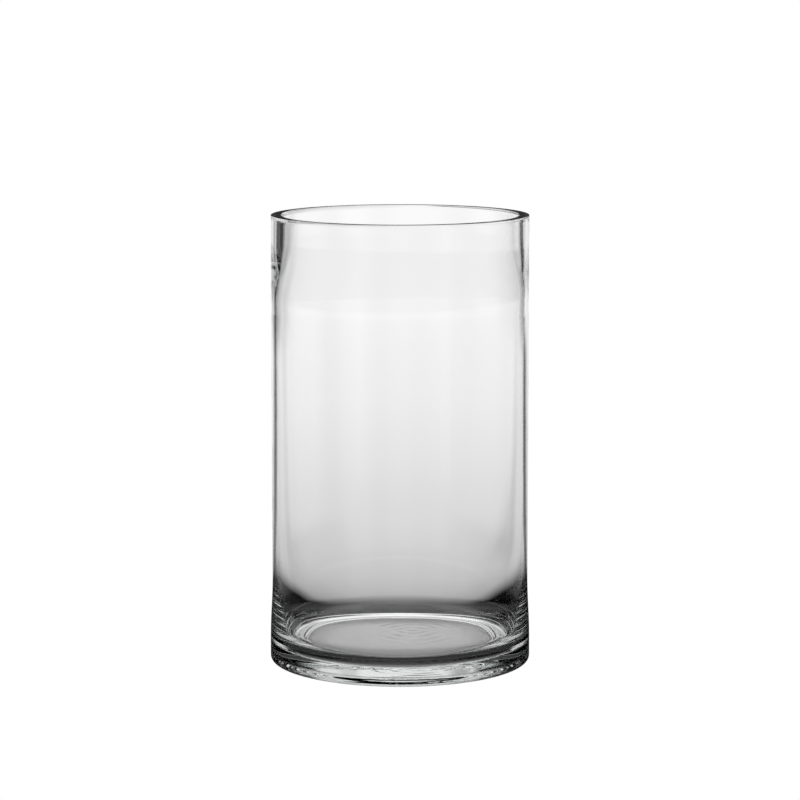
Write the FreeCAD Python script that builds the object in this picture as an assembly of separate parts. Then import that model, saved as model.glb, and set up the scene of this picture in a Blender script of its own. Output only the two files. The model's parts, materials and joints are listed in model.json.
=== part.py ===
import FreeCAD, Part
import math
import os

# A tall glass cylinder vase: one body of clear soda-lime glass, blown and then turned true.
# The walls are thin along the barrel, thicken to a heavy flat-topped rim at the mouth, and
# swell inwards at the bottom into a solid heel and floor. It stands on a polished foot ring
# around a shallow recess. Millimetres, +Z up, origin at the centre of the foot's resting plane.

# Overall sizes
HEIGHT = 350.0              # foot to rim
BARREL_DIAMETER = 200.0     # outside of the straight barrel and the rim

# Mouth and rim
RIM_WALL = 8.4              # glass at the rim
RIM_ROUNDING = 0.5          # fire-polished edges of the flat rim
MOUTH_DEPTH = 15.0          # rim down to where the mouth stops being a true cylinder
SHOULDER_LENGTH = 57.0      # height over which the rim's glass thins to the barrel's

# Barrel
BARREL_WALL = 3.65          # glass along the straight barrel

# Heel: the outside swells a little above the foot
HEEL_SWELL = 1.7            # how far the heel stands out past the barrel
HEEL_SWELL_TOP = 70.0       # height at which the barrel starts to swell
HEEL_FULL_HEIGHT = 14.0     # height of the heel's fullest point
HEEL_ROUNDING = 3.8         # outside edge between heel and foot

# Inside of the base
WELL_TOP = 68.0             # height at which the inside wall starts to curve in
WELL_RADIUS = 400.0         # curve of the inside wall below that height
WELL_CORNER = 22.0          # inside fillet between wall and floor
FLOOR_HEIGHT = 11.0         # top of the glass floor above the foot

# Underside
FOOT_RING_INNER_DIAMETER = 172.0
RECESS_SLOPE_WIDTH = 15.0   # width of the curved slope from the ring up into the recess
RECESS_DEPTH = 3.0

BARREL_RADIUS = BARREL_DIAMETER / 2
MOUTH_RADIUS = BARREL_RADIUS - RIM_WALL
BARREL_BORE_RADIUS = BARREL_RADIUS - BARREL_WALL
HEEL_RADIUS = BARREL_RADIUS + HEEL_SWELL


def point(radius, height):
    """A point of the half outline, which lies in the XZ plane."""
    return FreeCAD.Vector(radius, 0, height)


def line(start, end):
    return Part.LineSegment(start, end).toShape()


def arc(start, centre, end):
    """The shorter arc about centre, from start to end."""
    towards_middle = (start + end) * 0.5 - centre
    towards_middle.normalize()
    middle = centre + towards_middle * (start - centre).Length
    return Part.Arc(start, middle, end).toShape()


def s_curve(start, end, along):
    """Two equal arcs that leave start and reach end along the same unit vector."""
    chord = end - start
    run = along * chord.dot(along)
    offset = chord - run
    radius = chord.Length ** 2 / (4 * offset.Length)
    offset.normalize()
    middle = (start + end) * 0.5
    return [
        arc(start, start + offset * radius, middle),
        arc(middle, end - offset * radius, end),
    ]


def rim_edges():
    """The flat top of the rim between its two polished edges, from the outside inwards."""
    rounding_height = HEIGHT - RIM_ROUNDING
    outer_centre = point(BARREL_RADIUS - RIM_ROUNDING, rounding_height)
    inner_centre = point(MOUTH_RADIUS + RIM_ROUNDING, rounding_height)
    outer_top = point(outer_centre.x, HEIGHT)
    inner_top = point(inner_centre.x, HEIGHT)
    return [
        arc(point(BARREL_RADIUS, rounding_height), outer_centre, outer_top),
        line(outer_top, inner_top),
        arc(inner_top, inner_centre, point(MOUTH_RADIUS, rounding_height)),
    ]


def mouth_and_barrel_edges():
    """The inside from the rim's polished edge down to the top of the well."""
    down = FreeCAD.Vector(0, 0, -1)
    mouth_bottom = point(MOUTH_RADIUS, HEIGHT - MOUTH_DEPTH)
    shoulder_bottom = point(BARREL_BORE_RADIUS, mouth_bottom.z - SHOULDER_LENGTH)
    return [
        line(point(MOUTH_RADIUS, HEIGHT - RIM_ROUNDING), mouth_bottom),
        *s_curve(mouth_bottom, shoulder_bottom, down),
        line(shoulder_bottom, point(BARREL_BORE_RADIUS, WELL_TOP)),
    ]


def well_edges():
    """The inside of the heavy base: the curve of the wall, the corner fillet and the floor."""
    wall_centre = point(BARREL_BORE_RADIUS - WELL_RADIUS, WELL_TOP)
    corner_height = FLOOR_HEIGHT + WELL_CORNER
    between_centres = WELL_RADIUS - WELL_CORNER
    corner_reach = math.sqrt(between_centres ** 2 - (WELL_TOP - corner_height) ** 2)
    corner_centre = point(wall_centre.x + corner_reach, corner_height)
    outwards = corner_centre - wall_centre
    outwards.normalize()
    corner_top = wall_centre + outwards * WELL_RADIUS
    floor_edge = point(corner_centre.x, FLOOR_HEIGHT)
    return [
        arc(point(BARREL_BORE_RADIUS, WELL_TOP), wall_centre, corner_top),
        arc(corner_top, corner_centre, floor_edge),
        line(floor_edge, point(0, FLOOR_HEIGHT)),
    ]


def underside_edges():
    """From the recess's centre out to the foot ring's outer edge."""
    outwards = FreeCAD.Vector(1, 0, 0)
    ring_inner = point(FOOT_RING_INNER_DIAMETER / 2, 0)
    recess_edge = point(ring_inner.x - RECESS_SLOPE_WIDTH, RECESS_DEPTH)
    return [
        line(point(0, RECESS_DEPTH), recess_edge),
        *s_curve(recess_edge, ring_inner, outwards),
        line(ring_inner, point(HEEL_RADIUS - HEEL_ROUNDING, 0)),
    ]


def outside_edges():
    """The outside from the foot ring up round the heel and along the barrel to the rim."""
    up = FreeCAD.Vector(0, 0, 1)
    foot_edge = point(HEEL_RADIUS - HEEL_ROUNDING, 0)
    heel_bottom = point(HEEL_RADIUS, HEEL_ROUNDING)
    heel_top = point(HEEL_RADIUS, HEEL_FULL_HEIGHT)
    barrel_bottom = point(BARREL_RADIUS, HEEL_SWELL_TOP)
    return [
        arc(foot_edge, point(foot_edge.x, HEEL_ROUNDING), heel_bottom),
        line(heel_bottom, heel_top),
        *s_curve(heel_top, barrel_bottom, up),
        line(barrel_bottom, point(BARREL_RADIUS, HEIGHT - RIM_ROUNDING)),
    ]


def glass_body():
    """The whole vase: its half outline turned once round the Z axis."""
    axis_edge = line(point(0, FLOOR_HEIGHT), point(0, RECESS_DEPTH))
    outline = Part.Wire([
        *outside_edges(),
        *rim_edges(),
        *mouth_and_barrel_edges(),
        *well_edges(),
        axis_edge,
        *underside_edges(),
    ])
    return Part.Face(outline).revolve(FreeCAD.Vector(), FreeCAD.Vector(0, 0, 1), 360)


os.makedirs("parts", exist_ok=True)
body = glass_body()
body.exportStep("parts/glass_body.step")
print("glass_body", body.ShapeType, "valid", body.isValid(), "volume cm3", round(body.Volume / 1000, 1))
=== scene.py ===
import json
import math

import bmesh
import bpy
from mathutils import Matrix, Vector


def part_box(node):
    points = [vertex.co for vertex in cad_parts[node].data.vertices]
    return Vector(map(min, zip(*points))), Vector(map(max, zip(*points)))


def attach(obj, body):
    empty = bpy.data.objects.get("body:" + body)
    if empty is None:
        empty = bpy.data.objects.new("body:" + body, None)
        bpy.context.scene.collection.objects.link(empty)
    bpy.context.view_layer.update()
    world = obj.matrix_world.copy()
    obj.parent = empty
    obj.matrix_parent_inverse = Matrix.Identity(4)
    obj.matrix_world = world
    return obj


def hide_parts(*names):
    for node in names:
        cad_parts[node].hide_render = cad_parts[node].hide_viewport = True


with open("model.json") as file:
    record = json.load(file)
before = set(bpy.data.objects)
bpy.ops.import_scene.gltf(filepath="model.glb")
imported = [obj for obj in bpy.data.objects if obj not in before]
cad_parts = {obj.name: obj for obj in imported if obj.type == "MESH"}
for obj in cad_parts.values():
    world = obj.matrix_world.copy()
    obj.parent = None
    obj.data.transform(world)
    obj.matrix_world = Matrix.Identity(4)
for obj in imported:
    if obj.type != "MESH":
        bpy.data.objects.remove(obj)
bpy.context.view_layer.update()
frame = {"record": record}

scene = bpy.context.scene
scene.view_settings.view_transform = "Standard"
MM = 0.001


# ---------------------------------------------------------------------------------------------
# Camera. It stands in front of the vase and a little above its rim, a long lens looking slightly
# down, so that the mouth is a thin ellipse and the sides nearly upright.

CAMERA_DISTANCE = 2.348
CAMERA_HEIGHT = 0.545
CAMERA_TILT_DOWN = math.radians(8.236)
CAMERA_LENS_MM = 137.04

camera_data = bpy.data.cameras.new("studio_camera")
camera_data.sensor_width = 36.0
camera_data.lens = CAMERA_LENS_MM
camera = bpy.data.objects.new("studio_camera", camera_data)
camera.location = (0.0, -CAMERA_DISTANCE, CAMERA_HEIGHT)
camera.rotation_euler = (math.pi / 2 - CAMERA_TILT_DOWN, 0.0, 0.0)
scene.collection.objects.link(camera)
scene.camera = camera


# ---------------------------------------------------------------------------------------------
# Glass body. One gather of clear glass, blown to a straight thin barrel, with a heavy flat rim,
# a thick base whose inside wall curves in to the floor, and a foot ring round a shallow recess.
# Its half outline is worked out from a few sizes and then turned once round the axis.

vase_low, vase_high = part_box("glass_body")
height = vase_high.z
heel_radius = vase_high.x
mouth = next(m for m in frame["record"]["mounts"] if m["name"] == "mouth")
mouth_radius = mouth["dims"]["r_mm"] * MM

RIM_WALL = 8.4 * MM
RIM_ROUNDING = 0.5 * MM
MOUTH_DEPTH = 15.0 * MM
SHOULDER_LENGTH = 57.0 * MM
BARREL_WALL = 3.65 * MM
HEEL_SWELL_TOP = 70.0 * MM
HEEL_FULL_HEIGHT = 14.0 * MM
HEEL_ROUNDING = 3.8 * MM
WELL_TOP = 68.0 * MM
WELL_RADIUS = 400.0 * MM
WELL_CORNER = 22.0 * MM
FLOOR_HEIGHT = 11.0 * MM
RING_INNER_RADIUS = 86.0 * MM
RECESS_SLOPE_WIDTH = 15.0 * MM
RECESS_DEPTH = 3.0 * MM

barrel_radius = mouth_radius + RIM_WALL
bore_radius = barrel_radius - BARREL_WALL


def straight(start, end, step):
    """Points of the outline from start to just before end, about step apart."""
    count = max(1, round((Vector(end) - Vector(start)).length / step))
    return [Vector(start).lerp(Vector(end), i / count) for i in range(count)]


def bend(start, centre, end, step):
    """Points on the arc about centre from start to just before end, about step apart."""
    from_centre = Vector(start) - Vector(centre)
    to_centre = Vector(end) - Vector(centre)
    turn = -from_centre.angle_signed(to_centre)
    count = max(3, round(abs(turn) * from_centre.length / step))
    points = []
    for i in range(count):
        spoke = from_centre.copy()
        spoke.rotate(Matrix.Rotation(turn * i / count, 2))
        points.append(Vector(centre) + spoke)
    return points


def double_bend(start, end, along, step):
    """Two equal arcs that leave start and reach end along the same direction."""
    start, end, along = Vector(start), Vector(end), Vector(along)
    chord = end - start
    offset = chord - along * chord.dot(along)
    radius = chord.length_squared / (4 * offset.length)
    offset.normalize()
    middle = (start + end) / 2
    first = bend(start, start + offset * radius, middle, step)
    return first + bend(middle, end - offset * radius, end, step)


def glass_outline():
    """The half outline as (radius, height), from the recess's centre round to the floor's centre."""
    ring_outer = (heel_radius - HEEL_ROUNDING, 0.0)
    recess_edge = (RING_INNER_RADIUS - RECESS_SLOPE_WIDTH, RECESS_DEPTH)
    heel_bottom = (heel_radius, HEEL_ROUNDING)
    heel_top = (heel_radius, HEEL_FULL_HEIGHT)
    barrel_bottom = (barrel_radius, HEEL_SWELL_TOP)
    rim_start = height - RIM_ROUNDING
    rim_outer_centre = (barrel_radius - RIM_ROUNDING, rim_start)
    rim_inner_centre = (mouth_radius + RIM_ROUNDING, rim_start)
    mouth_bottom = (mouth_radius, height - MOUTH_DEPTH)
    shoulder_bottom = (bore_radius, height - MOUTH_DEPTH - SHOULDER_LENGTH)
    well_top = (bore_radius, WELL_TOP)

    well_centre = Vector((bore_radius - WELL_RADIUS, WELL_TOP))
    corner_z = FLOOR_HEIGHT + WELL_CORNER
    reach = math.sqrt((WELL_RADIUS - WELL_CORNER) ** 2 - (WELL_TOP - corner_z) ** 2)
    corner_centre = Vector((well_centre.x + reach, corner_z))
    corner_top = well_centre + (corner_centre - well_centre).normalized() * WELL_RADIUS
    floor_edge = (corner_centre.x, FLOOR_HEIGHT)

    return [
        *straight((0.0, RECESS_DEPTH), recess_edge, 4 * MM),
        *double_bend(recess_edge, (RING_INNER_RADIUS, 0.0), (1.0, 0.0), 1 * MM),
        *straight((RING_INNER_RADIUS, 0.0), ring_outer, 2 * MM),
        *bend(ring_outer, (ring_outer[0], HEEL_ROUNDING), heel_bottom, 0.7 * MM),
        *straight(heel_bottom, heel_top, 2 * MM),
        *double_bend(heel_top, barrel_bottom, (0.0, 1.0), 4 * MM),
        *straight(barrel_bottom, (barrel_radius, rim_start), 5 * MM),
        *bend((barrel_radius, rim_start), rim_outer_centre, (rim_outer_centre[0], height), 0.25 * MM),
        *straight((rim_outer_centre[0], height), (rim_inner_centre[0], height), 1 * MM),
        *bend((rim_inner_centre[0], height), rim_inner_centre, (mouth_radius, rim_start), 0.25 * MM),
        *straight((mouth_radius, rim_start), mouth_bottom, 3 * MM),
        *double_bend(mouth_bottom, shoulder_bottom, (0.0, -1.0), 2.5 * MM),
        *straight(shoulder_bottom, well_top, 5 * MM),
        *bend(well_top, well_centre, corner_top, 3 * MM),
        *bend(corner_top, corner_centre, floor_edge, 0.8 * MM),
        *straight(floor_edge, (0.0, FLOOR_HEIGHT), 1.8 * MM),
        Vector((0.0, FLOOR_HEIGHT)),
    ]


# The outline goes into the tree as a chain of points, each with the share of the drift it takes:
# a blown bore is never quite true, so the inside wanders a little and the outside does not.
outline = glass_outline()
outline_links = [(i, i + 1) for i in range(len(outline) - 1)]
outline_mesh = bpy.data.meshes.new("glass_outline")
outline_mesh.from_pydata([(p.x, 0.0, p.y) for p in outline], outline_links, [])
bore_edge = mouth_radius + 0.001 * MM
inside_from = next(i for i, p in enumerate(outline) if p.y > height / 2 and p.x < bore_edge)
inside = outline_mesh.attributes.new("inside", "FLOAT", "POINT")
inside.data.foreach_set("value", [1.0 if i >= inside_from else 0.0 for i in range(len(outline))])


class Tree:
    """A node tree being built, for the short calls that make and join its nodes."""

    def __init__(self, tree):
        self.tree = tree

    def node(self, kind, settings=None, **inputs):
        made = self.tree.nodes.new(kind)
        for key, value in (settings or {}).items():
            setattr(made, key, value)
        for key, value in inputs.items():
            self.feed(made, key.replace("_", " "), value)
        return made

    def feed(self, made, key, value):
        socket = made.inputs[int(key[1:])] if key[0] == "i" and key[1:].isdigit() else made.inputs[key]
        if isinstance(value, bpy.types.NodeSocket):
            self.tree.links.new(value, socket)
        else:
            socket.default_value = value

    def math(self, operation, first, second=0.0):
        made = self.node("ShaderNodeMath", {"operation": operation}, i0=first, i1=second)
        return made.outputs[0]

    def mix(self, share, low, high):
        """low where share is 0 and high where it is 1."""
        return self.node("ShaderNodeMix", {"data_type": "FLOAT"}, Factor=share, A=low, B=high).outputs[0]

    def ramp(self, value, start, end, low=0.0, high=1.0):
        """low below start and high above end, with a smooth change between them."""
        made = self.node(
            "ShaderNodeMapRange", {"interpolation_type": "SMOOTHSTEP"},
            Value=value, From_Min=start, From_Max=end, To_Min=low, To_Max=high,
        )
        return made.outputs[0]


# the wave stays on the upright wall, the swirl on the flat floor, and the turned seam is welded shut
WAVE_FADES_FROM = 75.0 * MM
WAVE_FADES_TO = 85.0 * MM
FLOOR_MARGIN = 0.5 * MM
WELD_DISTANCE = 0.01 * MM
SWIRL_FULL_SHARE = 0.3


def lathe_tree():
    """Turns the outline once round the axis, with the bore's drift and the floor's swirl in it."""
    tree = bpy.data.node_groups.new("glass_lathe", "GeometryNodeTree")
    t = Tree(tree)
    face = tree.interface
    face.new_socket("Outline", in_out="INPUT", socket_type="NodeSocketGeometry")
    for name, kind in (
        ("Steps Round", "NodeSocketInt"),
        ("Mouth Drift", "NodeSocketVector"),
        ("Drift Bottom", "NodeSocketFloat"),
        ("Drift Top", "NodeSocketFloat"),
        ("Wall Wave", "NodeSocketFloat"),
        ("Wave Scale", "NodeSocketFloat"),
        ("Swirl Depth", "NodeSocketFloat"),
        ("Swirl Spacing", "NodeSocketFloat"),
        ("Swirl Radius", "NodeSocketFloat"),
        ("Swirl Centre", "NodeSocketVector"),
        ("Floor Height", "NodeSocketFloat"),
        ("Seed", "NodeSocketFloat"),
        ("Glass", "NodeSocketMaterial"),
    ):
        face.new_socket(name, in_out="INPUT", socket_type=kind)
    face.new_socket("Vase", in_out="OUTPUT", socket_type="NodeSocketGeometry")
    given = t.node("NodeGroupInput").outputs

    size = t.node("GeometryNodeAttributeDomainSize", {"component": "MESH"}, Geometry=given["Outline"])
    count = size.outputs["Point Count"]
    rows = t.math("ADD", given["Steps Round"], 1.0)
    grid = t.node("GeometryNodeMeshGrid", None, Size_X=1.0, Size_Y=1.0, Vertices_X=count, Vertices_Y=rows)
    place = t.node("ShaderNodeSeparateXYZ", None, Vector=t.node("GeometryNodeInputPosition").outputs[0])
    last = t.math("SUBTRACT", count, 1.0)
    column = t.math("ROUND", t.math("MULTIPLY", t.math("ADD", place.outputs["X"], 0.5), last))
    turn = t.math("MULTIPLY", t.math("ADD", place.outputs["Y"], 0.5), 2 * math.pi)

    def sampled(kind, value):
        """The value at the outline's point that this column of the grid stands for."""
        made = t.node(
            "GeometryNodeSampleIndex", {"data_type": kind, "domain": "POINT"},
            Geometry=given["Outline"], Index=column,
        )
        t.feed(made, "Value", value)
        return made.outputs[0]

    spot = sampled("FLOAT_VECTOR", t.node("GeometryNodeInputPosition").outputs[0])
    marked = t.node("GeometryNodeInputNamedAttribute", {"data_type": "FLOAT"}, Name="inside")
    share = sampled("FLOAT", marked.outputs["Attribute"])
    spot = t.node("ShaderNodeSeparateXYZ", None, Vector=spot)
    radius, level = spot.outputs["X"], spot.outputs["Z"]
    cosine, sine = t.math("COSINE", turn), t.math("SINE", turn)

    # the wave of the bore's wall, by direction and height, fading out towards the axis
    wave_level = t.math("MULTIPLY", level, given["Wave Scale"])
    round_spot = t.node("ShaderNodeCombineXYZ", None, X=cosine, Y=sine, Z=wave_level)
    wave = t.node(
        "ShaderNodeTexNoise", {"noise_dimensions": "4D"},
        Vector=round_spot.outputs[0], W=given["Seed"], Scale=1.6, Detail=1.0,
    )
    wave = t.math("MULTIPLY", t.math("SUBTRACT", wave.outputs[0], 0.5), given["Wall Wave"])
    on_wall = t.math("MULTIPLY", share, t.ramp(radius, WAVE_FADES_FROM, WAVE_FADES_TO))
    radius = t.math("ADD", radius, t.math("MULTIPLY", wave, on_wall))
    across = t.math("MULTIPLY", radius, cosine)
    along = t.math("MULTIPLY", radius, sine)

    # rings left in the floor by the turning of the gather, strongest near their centre
    spoke = t.node("ShaderNodeCombineXYZ", None, X=across, Y=along).outputs[0]
    off = t.node("ShaderNodeVectorMath", {"operation": "DISTANCE"}, i0=spoke, i1=given["Swirl Centre"])
    off = off.outputs["Value"]
    ring = t.math("SINE", t.math("MULTIPLY", t.math("DIVIDE", off, given["Swirl Spacing"]), 2 * math.pi))
    full = t.math("MULTIPLY", given["Swirl Radius"], SWIRL_FULL_SHARE)
    fade = t.ramp(off, full, given["Swirl Radius"], 1.0, 0.0)
    floor_top = t.math("ADD", given["Floor Height"], FLOOR_MARGIN)
    on_floor = t.math("MULTIPLY", share, t.math("LESS_THAN", level, floor_top))
    depth = t.math("MULTIPLY", given["Swirl Depth"], t.math("MULTIPLY", fade, on_floor))
    level = t.math("ADD", level, t.math("MULTIPLY", ring, depth))

    # the mouth's bore is a little off the outside's centre
    drift = t.math("MULTIPLY", share, t.ramp(level, given["Drift Bottom"], given["Drift Top"]))
    drift = t.node("ShaderNodeVectorMath", {"operation": "SCALE"}, Vector=given["Mouth Drift"], Scale=drift)
    turned = t.node("ShaderNodeCombineXYZ", None, X=across, Y=along, Z=level)
    final = t.node("ShaderNodeVectorMath", {"operation": "ADD"}, i0=turned.outputs[0], i1=drift.outputs[0])

    moved = t.node("GeometryNodeSetPosition", None, Geometry=grid.outputs["Mesh"], Position=final.outputs[0])
    closed = t.node("GeometryNodeMergeByDistance", None, Geometry=moved.outputs[0], Distance=WELD_DISTANCE)
    smooth = t.node("GeometryNodeSetShadeSmooth", None, Geometry=closed.outputs[0])
    real = t.node("GeometryNodeRealizeInstances", None, Geometry=smooth.outputs[0])
    glazed = t.node("GeometryNodeSetMaterial", None, Geometry=real.outputs[0], Material=given["Glass"])
    t.node("NodeGroupOutput", None, Vase=glazed.outputs[0])
    return tree


SCUFFS_FULL_TO = 0.2 * MM
SCUFFS_GONE_BY = 0.8 * MM
SCUFF_ROUGHNESS = 0.18
HAZE_ROUGHNESS = 0.012


def clear_glass():
    """Soda-lime glass: colourless, fire-polished, and worn a little dull where it stands."""
    glass = bpy.data.materials.new("clear_glass")
    glass.use_nodes = True
    t = Tree(glass.node_tree)
    glass.node_tree.nodes.clear()
    spot = t.node("ShaderNodeTexCoord").outputs["Object"]
    part = t.node("ShaderNodeSeparateXYZ", None, Vector=spot)

    # fine scuffs on the foot ring's lowest part, over a faint unevenness of the polish everywhere
    scuffs = t.node("ShaderNodeTexNoise", None, Vector=spot, Scale=900.0, Detail=2.0)
    scuffs = t.ramp(scuffs.outputs[0], 0.4, 0.7)
    at_foot = t.ramp(part.outputs["Z"], SCUFFS_FULL_TO, SCUFFS_GONE_BY, 1.0, 0.0)
    haze = t.node("ShaderNodeTexNoise", None, Vector=spot, Scale=14.0, Detail=3.0)
    haze = t.ramp(haze.outputs[0], 0.35, 0.75, 0.0, HAZE_ROUGHNESS)
    rough = t.math("ADD", haze, t.math("MULTIPLY", t.math("MULTIPLY", scuffs, at_foot), SCUFF_ROUGHNESS))

    peel = t.node("ShaderNodeTexNoise", None, Vector=spot, Scale=55.0, Detail=1.0)
    skin = t.node("ShaderNodeBump", None, Height=peel.outputs[0], Strength=0.05, Distance=0.0004)

    shader = t.node(
        "ShaderNodeBsdfPrincipled", None,
        Base_Color=(1.0, 1.0, 1.0, 1.0), Roughness=rough, Normal=skin.outputs[0],
        IOR=1.52, Transmission_Weight=1.0, Metallic=0.0,
    )
    depth = t.node("ShaderNodeVolumeAbsorption", None, Color=(0.86, 0.88, 0.875, 1.0), Density=6.0)
    t.node("ShaderNodeOutputMaterial", None, Surface=shader.outputs[0], Volume=depth.outputs[0])
    return glass


def turned_glass(outline_mesh, material):
    """The finished mesh of the vase: the tree's result as plain faces that point outwards."""
    blank = bpy.data.objects.new("glass_blank", outline_mesh)
    scene.collection.objects.link(blank)
    tree = lathe_tree()
    lathe = blank.modifiers.new("lathe", "NODES")
    lathe.node_group = tree
    sizes = {
        "Steps Round": 256,
        "Mouth Drift": (0.9 * MM, 0.0, 0.0),
        "Drift Bottom": height - MOUTH_DEPTH - SHOULDER_LENGTH,
        "Drift Top": height - MOUTH_DEPTH,
        "Wall Wave": 0.12 * MM,
        "Wave Scale": 6.0,
        "Swirl Depth": 0.06 * MM,
        "Swirl Spacing": 9.0 * MM,
        "Swirl Radius": 60.0 * MM,
        "Swirl Centre": (10.0 * MM, 20.0 * MM, 0.0),
        "Floor Height": FLOOR_HEIGHT,
        "Seed": 3.0,
        "Glass": material,
    }
    for socket in tree.interface.items_tree:
        if socket.name in sizes and socket.in_out == "INPUT":
            lathe[socket.identifier] = sizes[socket.name]
    ready = blank.evaluated_get(bpy.context.evaluated_depsgraph_get())
    mesh = bpy.data.meshes.new_from_object(ready)
    bpy.data.objects.remove(blank)
    shell = bmesh.new()
    shell.from_mesh(mesh)
    bmesh.ops.recalc_face_normals(shell, faces=shell.faces)
    shell.to_mesh(mesh)
    shell.free()
    return mesh


vase_mesh = turned_glass(outline_mesh, clear_glass())
vase_mesh.name = "vase_glass"
vase = bpy.data.objects.new("vase_glass", vase_mesh)
scene.collection.objects.link(vase)
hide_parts("glass_body")
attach(vase, "root")


# ---------------------------------------------------------------------------------------------
# Studio. A pale floor and a pale room, plain white when seen directly. What the glass bends and
# mirrors is a pattern of light and dark in them, dim under the foot and with dark stretches between
# the bright sides; on the floor all of it is painted into the floor's own light, the dimness under
# the foot a painted shadow of the vase. Clear glass shows only where it finds some dark.

# light by bearing in degrees: 0 is straight behind the vase, and the right hand side is positive.
# The table and floor lists are painted light and dark in the floor's own light; the room list is
# the walls' light and is painted into the far floor as well
TABLE_PAINTED_LIGHT = (
    (-180, 1.00), (-140, 1.00), (-115, 0.02), (-66, 0.0), (-57, 0.03), (-38, 0.03), (-31, 0.0),
    (-24, 0.90), (-14, 1.00), (14, 1.00), (22, 0.90), (29, 0.0), (104, 0.0),
    (116, 0.30), (125, 1.00), (145, 1.00), (156, 0.60), (180, 1.00),
)
FLOOR_SIDES_PAINTED_LIGHT = (
    (-180, 0.80), (-145, 0.80), (-122, 0.50), (-112, 0.50), (-98, 0.95), (-80, 0.95), (-66, 0.80),
    (-40, 0.80), (-36, 0.15), (-28, 0.15), (-24, 0.85), (-14, 1.00), (12, 1.00), (14, 0.80), (24, 0.80),
    (28, 0.10), (36, 0.10), (40, 0.90), (86, 0.90), (104, 0.50), (112, 0.50), (126, 1.00),
    (144, 1.00), (158, 0.50), (180, 0.80),
)
ROOM_LIGHT = (
    (-180, 0.80), (-145, 0.80), (-122, 0.40), (-112, 0.40), (-98, 0.95), (-80, 0.95), (-66, 0.40),
    (-54, 0.30), (-44, 0.02), (-28, 0.02), (-24, 0.80), (-22, 0.50), (-18, 0.50), (-14, 1.00),
    (12, 1.00), (14, 0.75), (18, 0.75), (20, 0.90), (30, 0.90), (33, 0.05), (42, 0.05), (48, 0.80),
    (86, 0.80), (104, 0.45), (112, 0.45), (126, 1.00), (144, 1.00), (158, 0.50), (180, 0.80),
)
# painted light by distance from the vase's axis in metres, for the floor's own light: painted shade
# under the vase, a painted shadow round the foot ring, a painted bright caustic ring just outside
# it and a painted shadow of the thick base beyond, then brighter further off
FLOOR_PAINTED_LIGHT = (
    (0.0, 0.28), (0.055, 0.25), (0.068, 0.12), (0.078, 0.16), (0.082, 0.0), (0.089, 0.0),
    (0.095, 0.05), (0.102, 0.01), (0.112, 0.05), (0.118, 0.10), (0.126, 0.03), (0.145, 0.18),
    (0.165, 0.31), (0.190, 0.44), (0.220, 0.53), (0.260, 0.60), (0.320, 0.64), (0.390, 0.675),
    (0.590, 0.745), (0.960, 0.82), (1.410, 0.89), (2.0, 0.93), (2.4, 0.96),
)


def light_ramp(t, value, marks):
    """The light read off a list of (place, light), straight between its entries."""
    first, last = marks[0][0], marks[-1][0]
    share = t.math("DIVIDE", t.math("SUBTRACT", value, first), last - first)
    ramp = t.node("ShaderNodeValToRGB", None, Fac=share)
    stops = ramp.color_ramp.elements
    while len(stops) < len(marks):
        stops.new(1.0)
    for stop, (place, light) in zip(stops, marks):
        stop.position = (place - first) / (last - first)
        stop.color = (light, light, light, 1.0)
    return ramp.outputs["Color"]


# bearings to either side over which the backdrop ends and the room behind the viewer starts
BACKDROP_ENDS = (26.0, 34.0)
BEHIND_STARTS = (55.0, 80.0)


def panels_tree():
    """How bright the room is by direction round the vase: on the table, the floor and the walls."""
    tree = bpy.data.node_groups.new("room_panels", "ShaderNodeTree")
    t = Tree(tree)
    tree.interface.new_socket("Place", in_out="INPUT", socket_type="NodeSocketVector")
    for name in ("Table", "Floor", "Room", "Backdrop", "Behind"):
        tree.interface.new_socket(name, in_out="OUTPUT", socket_type="NodeSocketFloat")
    place = t.node("ShaderNodeSeparateXYZ", None, Vector=t.node("NodeGroupInput").outputs["Place"])
    bearing = t.math("ARCTAN2", place.outputs["X"], place.outputs["Y"])
    bearing = t.math("MULTIPLY", bearing, 180.0 / math.pi)
    to_either_side = t.math("ABSOLUTE", bearing)
    t.node(
        "NodeGroupOutput", None,
        Table=light_ramp(t, bearing, TABLE_PAINTED_LIGHT),
        Floor=light_ramp(t, bearing, FLOOR_SIDES_PAINTED_LIGHT),
        Room=light_ramp(t, bearing, ROOM_LIGHT),
        Backdrop=t.ramp(to_either_side, *BACKDROP_ENDS, 1.0, 0.0),
        Behind=t.ramp(to_either_side, *BEHIND_STARTS),
    )
    return tree


panels = panels_tree()
FLOOR_RADIUS = 2.4
FLOOR_DROP = 0.2 * MM
# light of the painted reflection: the floor and room behind the viewer as only the outside of the glass
# mirrors them
PAINTED_MIRROR_LIGHT = 0.60

# distances from the axis over which one list of sides gives way to the next, in metres
TABLE_STARTS = (0.10, 0.16)
FLOOR_STARTS = (0.32, 0.52)
ROOM_STARTS = (1.80, 2.40)
MIRROR_STARTS = (0.35, 1.50)


def first_mirror(t, share):
    """share for light that the outside of the glass mirrors, and 0 for light that it lets through."""
    path = t.node("ShaderNodeLightPath").outputs
    mirrored = t.math("SUBTRACT", path["Is Glossy Ray"], path["Is Transmission Ray"])
    return t.math("MULTIPLY", t.math("MAXIMUM", mirrored, 0.0), share)


def seen_white(t, light):
    """Plain white for the viewer's own sight, and the pattern's light for everything else."""
    return t.mix(t.node("ShaderNodeLightPath").outputs["Is Camera Ray"], light, 1.0)


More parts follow.
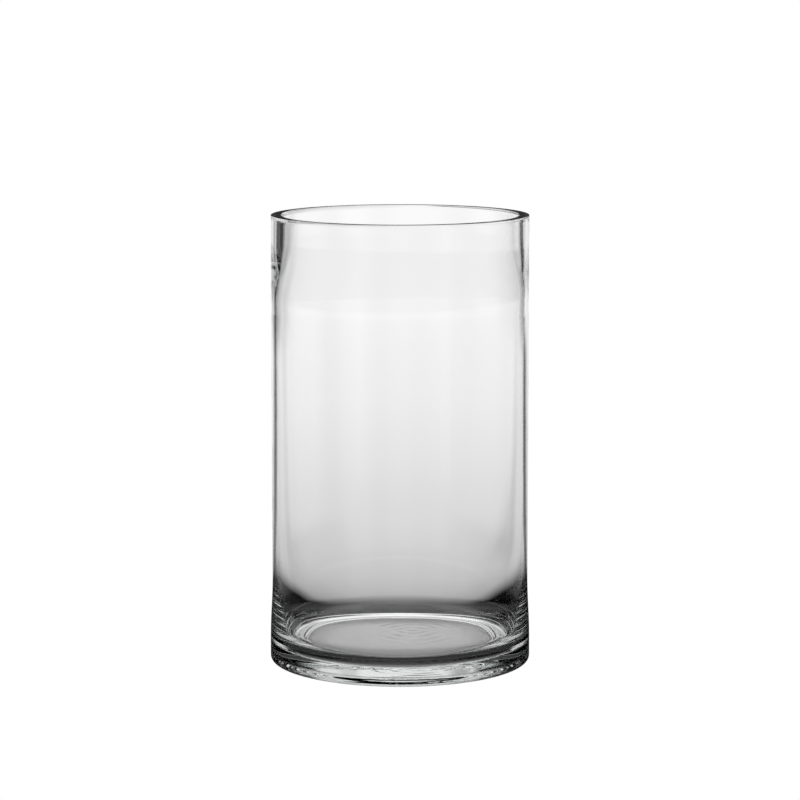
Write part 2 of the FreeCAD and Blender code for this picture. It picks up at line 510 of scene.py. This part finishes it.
def floor_material():
    """White floor that gives its own light, with a painted shadow round the foot, painted light and dark by
    bearing, and brighter with distance.
    """
    paint = bpy.data.materials.new("studio_floor")
    paint.use_nodes = True
    paint.cycles.emission_sampling = "NONE"
    t = Tree(paint.node_tree)
    paint.node_tree.nodes.clear()
    spot = t.node("ShaderNodeTexCoord").outputs["Object"]
    away = t.node("ShaderNodeVectorMath", {"operation": "LENGTH"}, i0=spot).outputs["Value"]
    round_vase = t.node("ShaderNodeGroup", {"node_tree": panels}, Place=spot)
    # painted light and dark by bearing in the floor's own light: near the foot, further out and far off
    table = t.mix(t.ramp(away, *TABLE_STARTS), 1.0, round_vase.outputs["Table"])
    sides = t.mix(t.ramp(away, *FLOOR_STARTS), table, round_vase.outputs["Floor"])
    sides = t.mix(t.ramp(away, *ROOM_STARTS), sides, round_vase.outputs["Room"])
    # the floor's light times the painted shade by distance: painted shadow round the foot and a painted
    # caustic ring
    painted_glow = t.math("MULTIPLY", light_ramp(t, away, FLOOR_PAINTED_LIGHT), sides)
    # painted reflection: the floor behind the viewer as only the outside of the glass mirrors it, dim near
    # the foot
    front = t.math("MULTIPLY", t.ramp(away, *MIRROR_STARTS), PAINTED_MIRROR_LIGHT)
    painted_glow = t.mix(first_mirror(t, round_vase.outputs["Behind"]), painted_glow, front)
    shine = t.node("ShaderNodeEmission", None, Strength=seen_white(t, painted_glow), Color=(1.0, 1.0, 1.0, 1.0))
    t.node("ShaderNodeOutputMaterial", None, Surface=shine.outputs[0])
    return paint


floor_shape = bmesh.new()
floor_place = Matrix.Translation((0, 0, -FLOOR_DROP))
bmesh.ops.create_circle(floor_shape, cap_ends=True, segments=96, radius=FLOOR_RADIUS, matrix=floor_place)
floor_mesh = bpy.data.meshes.new("studio_floor")
floor_shape.to_mesh(floor_mesh)
floor_shape.free()
floor_mesh.materials.append(floor_material())
floor = bpy.data.objects.new("studio_floor", floor_mesh)
scene.collection.objects.link(floor)

WALL_LIGHT = 0.975
WALL_TOP_LIGHT = 0.6
CEILING_LIGHT = 1.25
# light of a painted dark reflection over the rim, which only the outside of the glass mirrors
PAINTED_RIM_REFLECTION = 0.05

# heights over which each part of the room starts, as the sine of the angle above the horizon
WALLS_START = (-0.02, 0.02)
WALL_TOP_STARTS = (0.30, 0.42)
CEILING_STARTS = (0.55, 0.77)
RIM_REFLECTION_STARTS = (0.01, 0.04)
RIM_REFLECTION_ENDS = (0.14, 0.18)

room = bpy.data.worlds.new("studio_room")
room.use_nodes = True
room.node_tree.nodes.clear()
t = Tree(room.node_tree)
gaze = t.node("ShaderNodeTexCoord").outputs["Generated"]
up = t.node("ShaderNodeSeparateXYZ", None, Vector=gaze).outputs["Z"]
round_vase = t.node("ShaderNodeGroup", {"node_tree": panels}, Place=gaze)
backdrop = t.mix(t.ramp(up, *WALLS_START), 1.0, round_vase.outputs["Backdrop"])
walls = t.math("MULTIPLY", round_vase.outputs["Room"], t.math("MULTIPLY", backdrop, WALL_LIGHT))
walls = t.math("MULTIPLY", walls, t.ramp(up, *WALL_TOP_STARTS, 1.0, WALL_TOP_LIGHT))
level = t.mix(t.ramp(up, *CEILING_STARTS), walls, CEILING_LIGHT)
# painted reflection: the room behind the viewer, as only the outside of the glass mirrors it, at a set light
level = t.mix(first_mirror(t, round_vase.outputs["Behind"]), level, PAINTED_MIRROR_LIGHT)
# a painted reflection just over the horizon: a dark band that only the outside of the glass mirrors, for the
# cut top of the rim to show
painted_rim_reflection = t.math("MULTIPLY", t.ramp(up, *RIM_REFLECTION_STARTS), t.ramp(up, *RIM_REFLECTION_ENDS, 1.0, 0.0))
painted_rim_reflection = first_mirror(t, t.math("MULTIPLY", painted_rim_reflection, round_vase.outputs["Backdrop"]))
level = t.mix(painted_rim_reflection, level, PAINTED_RIM_REFLECTION)
shine = t.node("ShaderNodeBackground", None, Strength=seen_white(t, level), Color=(1.0, 1.0, 1.0, 1.0))
t.node("ShaderNodeOutputWorld", None, Surface=shine.outputs[0])
scene.world = room

scene.cycles.max_bounces = 32
scene.cycles.transmission_bounces = 32
scene.cycles.glossy_bounces = 16


STRIP_DISTANCE = 1.0
STRIP_WIDTH = 0.16
STRIP_HEIGHT = 1.2


def strip_light(name, bearing, power):
    """A tall soft lamp that stands at a bearing from the front of the vase and faces it."""
    lamp_data = bpy.data.lights.new(name, "AREA")
    lamp_data.shape = "RECTANGLE"
    lamp_data.size = STRIP_WIDTH
    lamp_data.size_y = STRIP_HEIGHT
    lamp_data.energy = power
    lamp = bpy.data.objects.new(name, lamp_data)
    angle = math.radians(bearing)
    to_axis = Vector((-math.sin(angle), math.cos(angle), 0.0))
    lamp.location = -to_axis * STRIP_DISTANCE + Vector((0.0, 0.0, STRIP_HEIGHT / 2))
    lamp.rotation_euler = to_axis.to_track_quat("-Z", "Y").to_euler()
    lamp.visible_camera = False
    lamp.visible_transmission = False
    scene.collection.objects.link(lamp)


strip_light("strip_left", -35.4, 0.12)
strip_light("strip_right", 38.9, 0.18)
